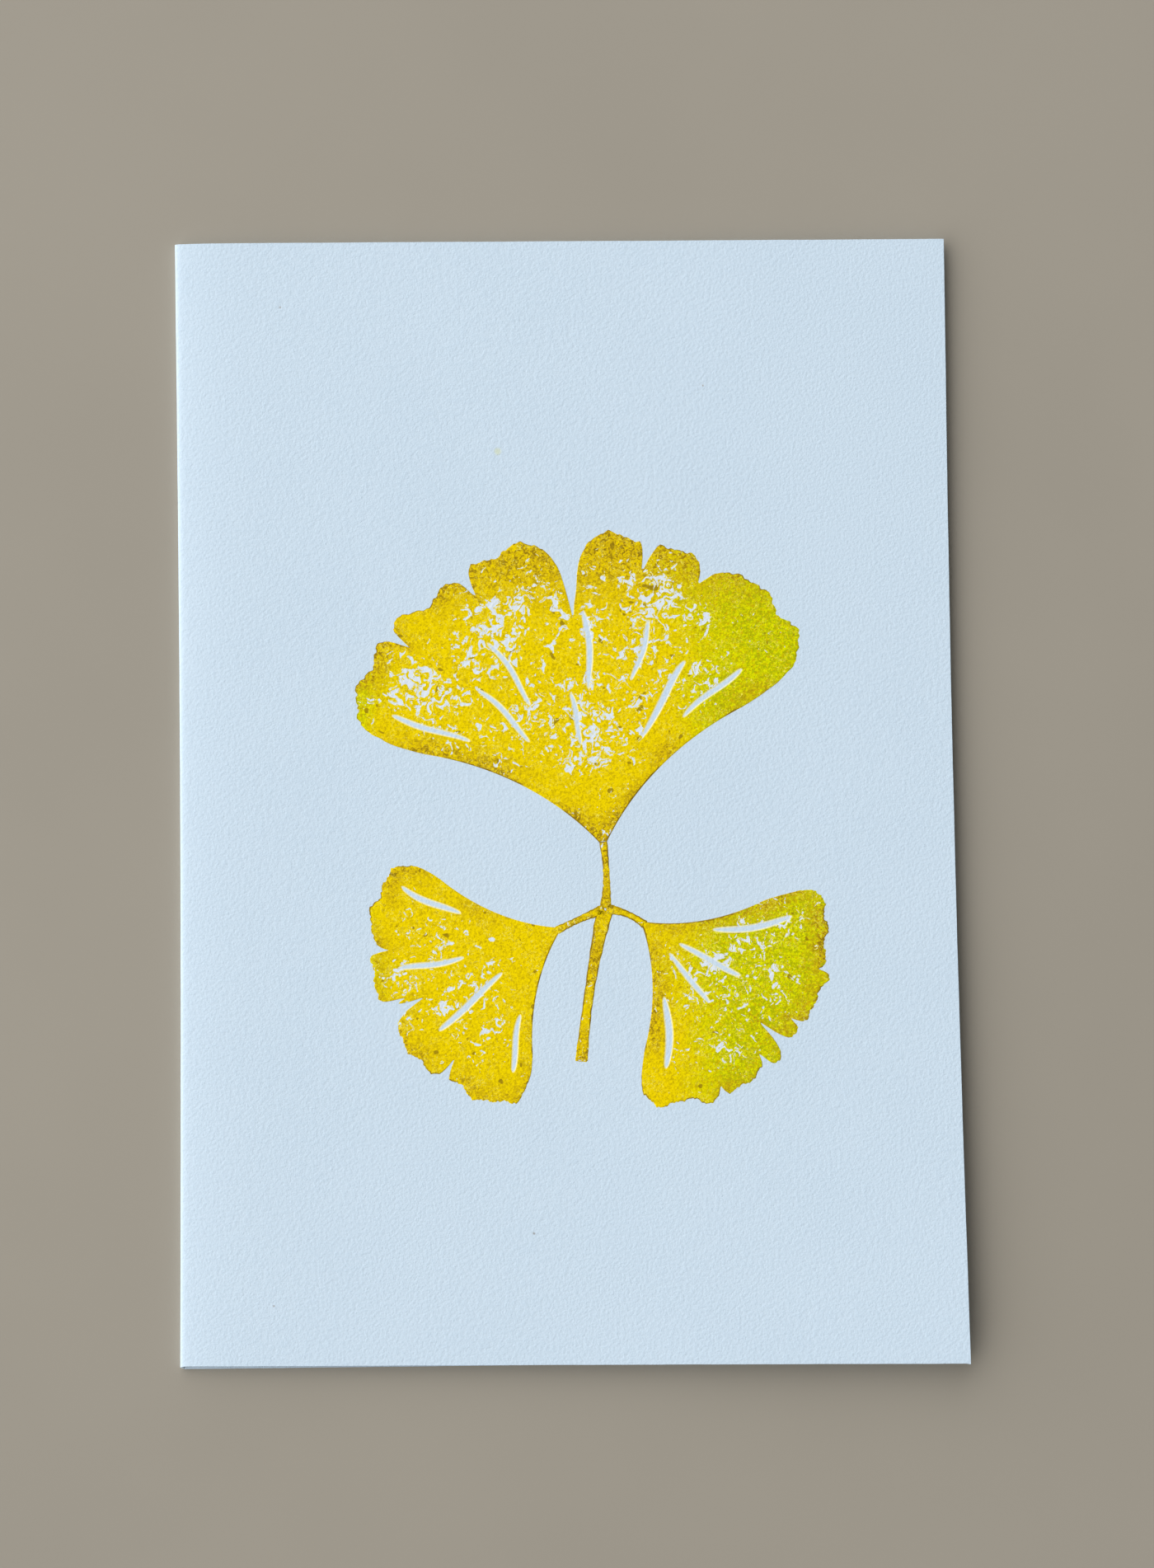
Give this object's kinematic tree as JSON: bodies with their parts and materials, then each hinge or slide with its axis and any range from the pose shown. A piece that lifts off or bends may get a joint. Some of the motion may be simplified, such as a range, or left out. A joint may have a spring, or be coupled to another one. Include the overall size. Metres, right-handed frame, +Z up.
{
  "type": "folded greeting card",
  "caption": "Portrait greeting card of heavy white card, folded down its left side, with a block-printed botanical motif on the front and plain inside and back.",
  "frame": {"origin": "on the surface the card lies on, under the centre of the closed card", "axes": "+X from the fold to the opening side, +Y from the foot of the card to its head, +Z up through the leaves"},
  "size_m": [0.105, 0.1522, 0.0036],
  "materials": {
    "card": "matte",
    "ink": "satin printing ink on card"
  },
  "bodies": {
    "rear": {"rear_leaf": "card"},
    "front": {"front_leaf": "card"}
  },
  "joints": [
    {"name": "fold", "type": "hinge", "parent": "rear", "child": "front", "pos_m": [-0.0519, 0, 0.0006], "axis": [0, -1, 0], "range_deg": [0, 172]}
  ]
}
